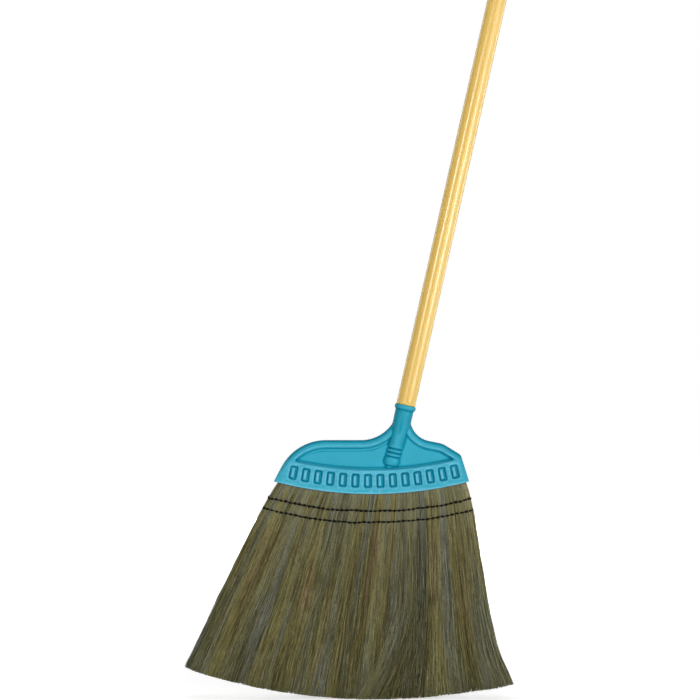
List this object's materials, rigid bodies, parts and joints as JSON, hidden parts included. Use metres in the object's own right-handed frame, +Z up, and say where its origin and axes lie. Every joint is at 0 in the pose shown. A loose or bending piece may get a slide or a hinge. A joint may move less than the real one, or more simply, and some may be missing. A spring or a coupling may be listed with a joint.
{
  "type": "grass broom",
  "caption": "Floor broom: a fan of dried grass stitched with dark thread, set in a moulded plastic cap whose leaning socket holds a round wooden handle.",
  "frame": {"origin": "on the floor below the middle of the broom's box, with the lowest grass tips on the floor", "axes": "+Z up with the cap level, +X across the head towards the side the handle leans to, +Y from the front to the rear"},
  "size_m": [0.5175, 0.0446, 1.4623],
  "materials": {
    "handle_wood": "satin",
    "cap_plastic": "satin",
    "grass": "matte",
    "thread": "matte",
    "screw_steel": "satin",
    "glue": "satin",
    "band_plastic": "matte"
  },
  "bodies": {
    "root": {"handle": "handle_wood", "broom_cap": "cap_plastic", "handle_screw": "screw_steel", "glue_bed": "glue", "root_band": "band_plastic", "stitch_row_upper": "thread", "stitch_row_lower": "thread", "grass_hank_01": "grass", "grass_hank_02": "grass", "grass_hank_03": "grass", "grass_hank_04": "grass", "grass_hank_05": "grass", "grass_hank_06": "grass", "grass_hank_07": "grass", "grass_hank_08": "grass", "grass_hank_09": "grass", "grass_hank_10": "grass", "grass_hank_11": "grass", "grass_hank_12": "grass", "grass_hank_13": "grass", "grass_hank_14": "grass"}
  },
  "joints": []
}
